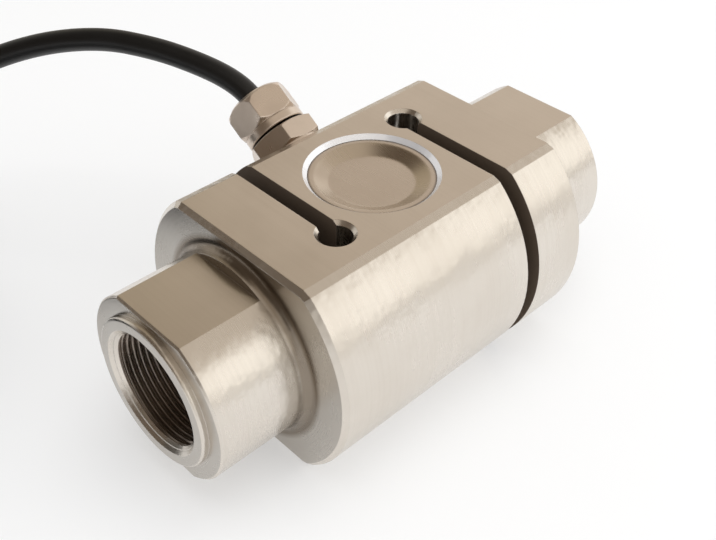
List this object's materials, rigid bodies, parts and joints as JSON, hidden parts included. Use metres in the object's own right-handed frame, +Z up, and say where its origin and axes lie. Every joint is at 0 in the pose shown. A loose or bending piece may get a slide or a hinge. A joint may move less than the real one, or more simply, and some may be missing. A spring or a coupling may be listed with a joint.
{
  "type": "s type load cell",
  "caption": "Round S-type tension and compression load cell with threaded ends, opposed slots, gauge pockets and a glanded signal cable.",
  "frame": {"origin": "middle of the lower flat, on which the cell lies", "axes": "+X along the load axis; +Y towards the cable gland; +Z up, out of the upper flat"},
  "size_m": [0.2348, 0.1809, 0.0659],
  "materials": {
    "plated_steel": "satin nickel plating over ground and turned alloy steel",
    "cover_steel": "satin nickel plating on pressed sheet",
    "plated_brass": "satin nickel plating on turned brass",
    "gauge_foil": "amber polyimide film",
    "solder_board": "green lacquered board",
    "seal_rubber": "matte black rubber",
    "claw_nylon": "natural nylon",
    "cable_jacket": "matte black jacket",
    "tie_strap": "black woven hook and loop strap",
    "shrink_sleeve": "black shrunk sleeve",
    "lead_red": "red insulation",
    "lead_black": "black insulation",
    "lead_green": "green insulation",
    "lead_white": "white insulation",
    "tinned_copper": "stranded tinned copper"
  },
  "bodies": {
    "root": {"load_cell_body": "plated_steel", "top_cover": "cover_steel", "bottom_cover": "cover_steel", "upper_shear_gauge": "gauge_foil", "lower_shear_gauge": "gauge_foil", "terminal_board": "solder_board", "trim_board": "solder_board", "inner_lead_red": "lead_red", "inner_lead_black": "lead_black", "inner_lead_green": "lead_green", "inner_lead_white": "lead_white", "gland_body": "plated_brass", "gland_o_ring": "seal_rubber", "gland_seal": "seal_rubber", "gland_claw": "claw_nylon", "gland_cap_nut": "plated_brass", "cable_in_gland": "cable_jacket", "cable_run": "cable_jacket", "cable_coil": "cable_jacket", "coil_tie_1": "tie_strap", "coil_tie_2": "tie_strap", "cable_end_sleeve": "shrink_sleeve", "end_lead_red": "lead_red", "end_lead_black": "lead_black", "end_lead_green": "lead_green", "end_lead_white": "lead_white", "end_lead_drain": "tinned_copper"}
  },
  "joints": []
}
